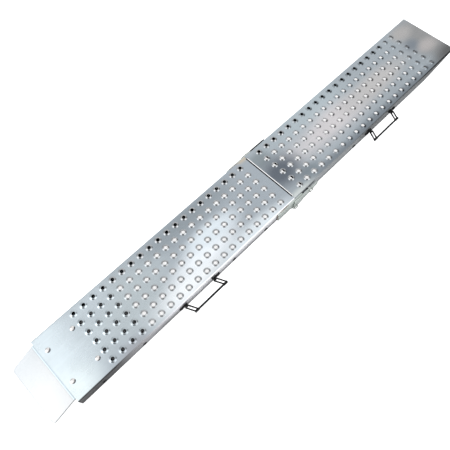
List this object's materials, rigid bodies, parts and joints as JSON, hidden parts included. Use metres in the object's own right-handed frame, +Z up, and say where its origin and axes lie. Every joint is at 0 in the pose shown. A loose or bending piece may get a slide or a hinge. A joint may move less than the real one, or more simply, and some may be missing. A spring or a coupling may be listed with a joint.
{
  "type": "folding loading ramp",
  "caption": "Folding steel loading ramp: two punched channel halves on a cross hinge, with a bent-down tongue plate and side carry handles.",
  "frame": {"origin": "Bottom centre of the whole ramp's bounding box, laid open: the floor under the hinge lobes.", "axes": "+X runs down the ramp from the tongue to the ground end, +Y across it away from the handles, +Z up off the deck."},
  "size_m": [1.8254, 0.2775, 0.0601],
  "materials": {
    "galvanised_steel": "hot-dip galvanised, satin with faint spangle",
    "bright_galvanised_sheet": "bright galvanised sheet",
    "inner_galvanised_sheet": "dull galvanised",
    "zinc_plated_hardware": "zinc plated",
    "black_coated_steel": "satin black coating"
  },
  "bodies": {
    "tongue_half": {"tongue_half_deck": "galvanised_steel", "tongue_plate": "bright_galvanised_sheet", "tongue_bolt_1": "zinc_plated_hardware", "tongue_bolt_2": "zinc_plated_hardware", "tongue_bolt_3": "zinc_plated_hardware", "tongue_bolt_4": "zinc_plated_hardware", "tongue_nut_1": "zinc_plated_hardware", "tongue_nut_2": "zinc_plated_hardware", "tongue_nut_3": "zinc_plated_hardware", "tongue_nut_4": "zinc_plated_hardware", "tongue_floor_plate": "inner_galvanised_sheet", "tongue_cross_member_1": "inner_galvanised_sheet", "tongue_cross_member_2": "inner_galvanised_sheet", "tongue_cross_member_3": "inner_galvanised_sheet", "tongue_seam_stiffener": "bright_galvanised_sheet", "tongue_hinge_plate_near": "galvanised_steel", "tongue_hinge_plate_back": "galvanised_steel", "pivot_bolt_near": "zinc_plated_hardware", "pivot_nut_near": "zinc_plated_hardware", "pivot_bolt_back": "zinc_plated_hardware", "pivot_nut_back": "zinc_plated_hardware", "handle_foot_tongue_tongue_end": "black_coated_steel", "handle_foot_tongue_ground_end": "black_coated_steel", "handle_rivet_tongue_tongue_end": "black_coated_steel", "handle_rivet_tongue_ground_end": "black_coated_steel"},
    "ground_half": {"ground_half_deck": "galvanised_steel", "ground_end_doubler": "inner_galvanised_sheet", "ground_cross_member_1": "inner_galvanised_sheet", "ground_cross_member_2": "inner_galvanised_sheet", "ground_cross_member_3": "inner_galvanised_sheet", "ground_seam_stiffener": "bright_galvanised_sheet", "ground_hinge_plate_near": "galvanised_steel", "ground_hinge_plate_back": "galvanised_steel", "hinge_spacer_near": "zinc_plated_hardware", "hinge_spacer_back": "zinc_plated_hardware", "hinge_tie_tube": "zinc_plated_hardware", "hinge_tie_bolt": "zinc_plated_hardware", "hinge_tie_nut": "zinc_plated_hardware", "handle_foot_ground_tongue_end": "black_coated_steel", "handle_foot_ground_ground_end": "black_coated_steel", "handle_rivet_ground_tongue_end": "black_coated_steel", "handle_rivet_ground_ground_end": "black_coated_steel"},
    "tongue_handle": {"handle_tongue": "black_coated_steel"},
    "ground_handle": {"handle_ground": "black_coated_steel"}
  },
  "joints": [
    {"name": "fold_hinge", "type": "hinge", "parent": "tongue_half", "child": "ground_half", "pos_m": [0.03472, 0.0124, 0.01], "axis": [0, 1, 0], "range_deg": [0, 180]},
    {"name": "tongue_handle_swing", "type": "hinge", "parent": "tongue_half", "child": "tongue_handle", "pos_m": [-0.38528, -0.1062, 0.029], "axis": [-1, 0, 0], "range_deg": [-25, 80]},
    {"name": "ground_handle_swing", "type": "hinge", "parent": "ground_half", "child": "ground_handle", "pos_m": [0.48472, -0.1062, 0.029], "axis": [-1, 0, 0], "range_deg": [-25, 80]}
  ]
}
